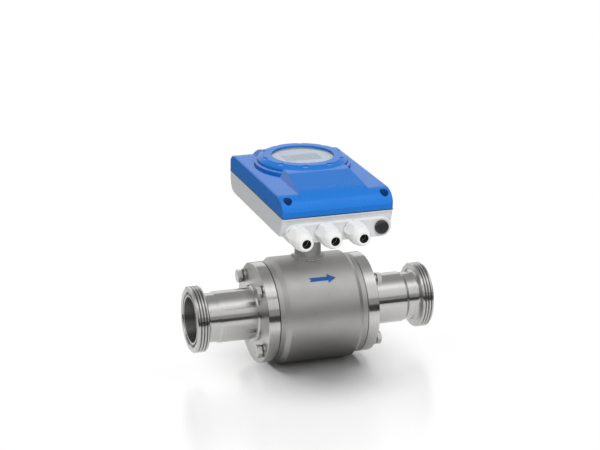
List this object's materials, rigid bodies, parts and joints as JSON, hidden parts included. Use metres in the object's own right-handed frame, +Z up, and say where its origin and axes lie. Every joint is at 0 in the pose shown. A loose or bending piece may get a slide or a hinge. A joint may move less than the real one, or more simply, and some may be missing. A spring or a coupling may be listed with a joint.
{
  "type": "electromagnetic flow meter",
  "caption": "Inline electromagnetic flow meter with round-thread pipe ends, stainless sensor body and a tilted display head with cable glands.",
  "frame": {"origin": "on the pipe axis, at the middle of the flow sensor", "axes": "+X along the pipe in the direction of flow, +Z up along the neck, -Y out of the cable glands"},
  "size_m": [0.3572, 0.2842, 0.3046],
  "materials": {
    "satin_steel": "bead-blasted satin stainless steel",
    "turned_steel": "turned and polished stainless steel",
    "bolt_steel": "plain stainless steel fasteners",
    "tube_steel": "drawn non-magnetic stainless tube",
    "electrode_metal": "polished corrosion-resistant alloy",
    "electrode_sleeves": "moulded insulating plastic",
    "liner_white": "smooth moulded fluoropolymer",
    "coil_copper": "enamelled copper winding",
    "soft_iron": "plain soft iron",
    "black_seal": "matt black elastomer",
    "insert_rubber": "matt black elastomer",
    "grey_paint": "light grey powder coat",
    "blue_paint": "bright blue powder coat",
    "window_glass": "clear polished glass",
    "display_plate": "pale grey matt plate",
    "screen_plastic": "grey liquid crystal screen",
    "key_plastic": "pale grey keys",
    "switch_plastic": "black switch bodies",
    "board_green": "green solder-masked board",
    "carrier_plastic": "natural moulded plastic",
    "transformer_tape": "yellow wound tape",
    "terminal_plastic": "green moulded plastic",
    "lead_sheath": "black cable sheath and insulated wires",
    "gland_white": "near-white moulded polyamide",
    "plug_black": "black moulded polyamide"
  },
  "bodies": {
    "meter": {"sensor_housing": "satin_steel", "neck_tube": "satin_steel", "inlet_adapter": "turned_steel", "outlet_adapter": "turned_steel", "inlet_threaded_end": "turned_steel", "outlet_threaded_end": "turned_steel", "flange_bolts": "bolt_steel", "flange_plain_washers": "bolt_steel", "flange_spring_washers": "bolt_steel", "plate_screws": "bolt_steel", "cover_screws": "bolt_steel", "board_screws": "bolt_steel", "measuring_tube": "tube_steel", "electrode_front": "electrode_metal", "electrode_back": "electrode_metal", "electrode_sleeves": "electrode_sleeves", "tube_liner": "liner_white", "coil_upper": "coil_copper", "coil_lower": "coil_copper", "pole_shoe_upper": "soft_iron", "pole_shoe_lower": "soft_iron", "return_yoke": "soft_iron", "inlet_gasket": "black_seal", "outlet_gasket": "black_seal", "neck_seal": "black_seal", "cover_seal": "black_seal", "plug_washer": "black_seal", "gland_washers": "black_seal", "housing_base": "grey_paint", "housing_cover": "blue_paint", "display_face": "display_plate", "display_screen": "screen_plastic", "key_switches": "switch_plastic", "display_board": "board_green", "main_board": "board_green", "display_carrier": "carrier_plastic", "power_transformer": "transformer_tape", "terminal_block": "terminal_plastic", "sensor_plug": "terminal_plastic", "sensor_leads": "lead_sheath", "gland_body_1": "gland_white", "gland_body_2": "gland_white", "gland_body_3": "gland_white", "gland_lock_nuts": "gland_white", "blanking_plug": "plug_black"},
    "lid_seal_ring": {"lid_seal": "black_seal"},
    "lid": {"lid_ring": "blue_paint", "lid_window": "window_glass", "window_frame": "black_seal"},
    "key_1_button": {"key_1": "key_plastic"},
    "key_2_button": {"key_2": "key_plastic"},
    "key_3_button": {"key_3": "key_plastic"},
    "key_4_button": {"key_4": "key_plastic"},
    "gland_1_insert": {"gland_insert_1": "insert_rubber"},
    "gland_1_nut": {"gland_nut_1": "gland_white"},
    "gland_2_insert": {"gland_insert_2": "insert_rubber"},
    "gland_2_nut": {"gland_nut_2": "gland_white"},
    "gland_3_insert": {"gland_insert_3": "insert_rubber"},
    "gland_3_nut": {"gland_nut_3": "gland_white"}
  },
  "joints": [
    {"name": "lid_lift", "type": "slide", "parent": "meter", "child": "lid_seal_ring", "axis": [0, -0.0802, 0.9968], "range_m": [0, 0.006]},
    {"name": "lid_unscrew", "type": "hinge", "parent": "lid_seal_ring", "child": "lid", "pos_m": [0, 0.01748, 0.22255], "axis": [0, -0.0802, 0.9968], "range_deg": [0, 720]},
    {"name": "press_key_1", "type": "slide", "parent": "meter", "child": "key_1_button", "axis": [0, 0.0802, -0.9968], "range_m": [0, 0.001], "stiffness_N_per_m": 800, "springref_m": -0.0003},
    {"name": "press_key_2", "type": "slide", "parent": "meter", "child": "key_2_button", "axis": [0, 0.0802, -0.9968], "range_m": [0, 0.001], "stiffness_N_per_m": 800, "springref_m": -0.0003},
    {"name": "press_key_3", "type": "slide", "parent": "meter", "child": "key_3_button", "axis": [0, 0.0802, -0.9968], "range_m": [0, 0.001], "stiffness_N_per_m": 800, "springref_m": -0.0003},
    {"name": "press_key_4", "type": "slide", "parent": "meter", "child": "key_4_button", "axis": [0, 0.0802, -0.9968], "range_m": [0, 0.001], "stiffness_N_per_m": 800, "springref_m": -0.0003},
    {"name": "gland_1_slide", "type": "slide", "parent": "meter", "child": "gland_1_insert", "axis": [0, -0.9968, -0.0802], "range_m": [0, 0.0045]},
    {"name": "gland_1_unscrew", "type": "hinge", "parent": "gland_1_insert", "child": "gland_1_nut", "pos_m": [-0.0615, -0.14975, 0.14388], "axis": [0, -0.9968, -0.0802], "range_deg": [0, 1080]},
    {"name": "gland_2_slide", "type": "slide", "parent": "meter", "child": "gland_2_insert", "axis": [0, -0.9968, -0.0802], "range_m": [0, 0.0045]},
    {"name": "gland_2_unscrew", "type": "hinge", "parent": "gland_2_insert", "child": "gland_2_nut", "pos_m": [-0.0205, -0.14975, 0.14388], "axis": [0, -0.9968, -0.0802], "range_deg": [0, 1080]},
    {"name": "gland_3_slide", "type": "slide", "parent": "meter", "child": "gland_3_insert", "axis": [0, -0.9968, -0.0802], "range_m": [0, 0.0045]},
    {"name": "gland_3_unscrew", "type": "hinge", "parent": "gland_3_insert", "child": "gland_3_nut", "pos_m": [0.0205, -0.14975, 0.14388], "axis": [0, -0.9968, -0.0802], "range_deg": [0, 1080]}
  ],
  "couplings": [
    {"joint": "lid_lift", "follows": "lid_unscrew", "m_per_rad": 0.00047746},
    {"joint": "gland_1_slide", "follows": "gland_1_unscrew", "m_per_rad": 0.00023873},
    {"joint": "gland_2_slide", "follows": "gland_2_unscrew", "m_per_rad": 0.00023873},
    {"joint": "gland_3_slide", "follows": "gland_3_unscrew", "m_per_rad": 0.00023873}
  ]
}
